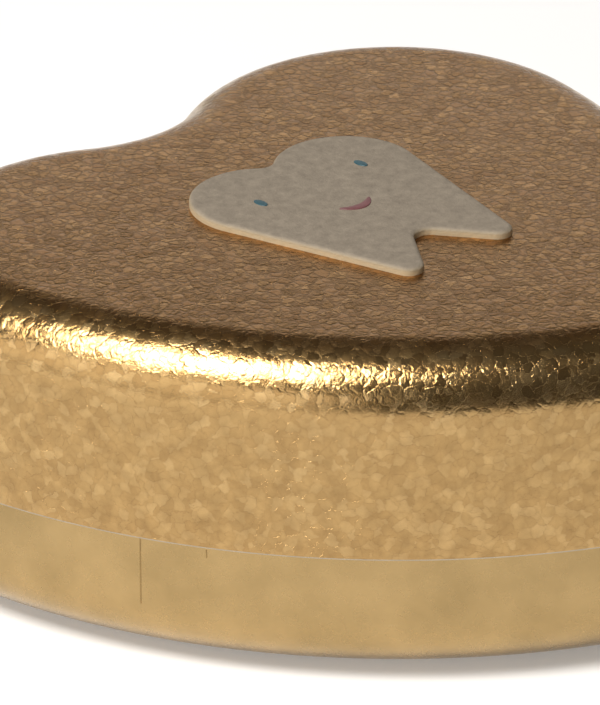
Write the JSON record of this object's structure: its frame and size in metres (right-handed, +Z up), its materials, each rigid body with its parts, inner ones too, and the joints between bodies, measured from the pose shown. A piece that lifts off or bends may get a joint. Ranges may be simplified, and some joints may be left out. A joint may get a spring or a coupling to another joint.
{
  "type": "wind up music box",
  "caption": "Heart-shaped tin with a slip-over lid and raised tooth ornament, holding a key-wound pinned-cylinder musical movement under a keepsake tray.",
  "frame": {"origin": "centre of the box's footprint on the table plane, under the foot pads", "axes": "+Z up; +X across the two lobes of the heart; +Y towards the cleft, the tip at -Y"},
  "size_m": [0.1, 0.093, 0.0427],
  "materials": {
    "gold_lacquer_lid": "crystallised gold lacquer over tinplate, cells about a millimetre across",
    "gold_lacquer_base": "satin gold lacquer over tinplate",
    "cast_resin": "matte grey-cream cast ornament, bisque like",
    "eye_enamel": "teal-blue enamel dab",
    "mouth_enamel": "dusty red enamel",
    "pad_rubber": "matte black",
    "flock": "dark red flock over moulded card",
    "zinc": "die-cast zinc, dull grey",
    "brass": "turned brass",
    "steel": "ground steel",
    "spring_steel": "blued spring steel",
    "plated": "nickel plate",
    "nylon": "natural nylon"
  },
  "bodies": {
    "box": {"base_shell": "gold_lacquer_base", "foot_pads": "pad_rubber", "keepsake_tray": "flock", "bedplate": "zinc", "movement_screws": "plated", "cylinder_post": "zinc", "governor_post": "zinc", "governor_frame": "zinc", "governor_cock": "brass", "worm_bearing": "brass", "frame_screws": "plated", "comb": "steel", "comb_base": "zinc", "comb_screws": "plated", "clutch_spring": "spring_steel", "lever_stud": "steel"},
    "lid": {"lid_shell": "gold_lacquer_lid", "tooth_ornament": "cast_resin", "tooth_eyes": "eye_enamel", "tooth_mouth": "mouth_enamel"},
    "winder": {"winding_arbor": "steel", "key_stem": "plated", "key_bow": "plated", "arbor_clip": "spring_steel"},
    "drum": {"spring_drum": "brass", "drum_cover": "brass", "crown_wheel": "brass", "mainspring": "spring_steel"},
    "cylinder": {"cylinder_arbor": "steel", "cylinder_barrel": "brass", "cylinder_pins": "steel", "drive_pinion": "brass", "cylinder_wheel": "brass"},
    "governor": {"governor_arbor": "steel", "governor_pinion": "brass", "worm_wheel": "nylon"},
    "fly": {"worm": "steel", "worm_thread": "steel", "brake_disc": "brass", "fly_hub": "nylon", "fly_wings": "nylon"},
    "stop": {"stop_lever": "steel", "stop_tab": "nylon"}
  },
  "joints": [
    {"name": "lid_lift", "type": "slide", "parent": "box", "child": "lid", "axis": [0, 0, 1], "range_m": [0, 0.03]},
    {"name": "key_wind", "type": "hinge", "parent": "box", "child": "winder", "pos_m": [-0.0145, 0.0015, 0.005], "axis": [0, 0, 1], "range_deg": [0, 2700]},
    {"name": "drum_turn", "type": "hinge", "parent": "box", "child": "drum", "pos_m": [-0.0145, 0.0015, 0.018], "axis": [0, 0, 1], "continuous": true},
    {"name": "cylinder_turn", "type": "hinge", "parent": "box", "child": "cylinder", "pos_m": [0.0105, 0.0015, 0.0198], "axis": [1, 0, 0], "continuous": true},
    {"name": "governor_turn", "type": "hinge", "parent": "box", "child": "governor", "pos_m": [0.0215, 0.0107, 0.0198], "axis": [1, 0, 0], "continuous": true},
    {"name": "fly_turn", "type": "hinge", "parent": "box", "child": "fly", "pos_m": [0.0241, 0.0173, 0.02], "axis": [0, 0, 1], "continuous": true},
    {"name": "stop_push", "type": "hinge", "parent": "box", "child": "stop", "pos_m": [0.0095, 0.0155, 0.012], "axis": [0, 0, 1], "range_deg": [0, 8]}
  ],
  "couplings": [
    {"joint": "cylinder_turn", "follows": "drum_turn", "ratio": 3.5},
    {"joint": "governor_turn", "follows": "drum_turn", "ratio": -12.6},
    {"joint": "fly_turn", "follows": "drum_turn", "ratio": 302.4}
  ]
}
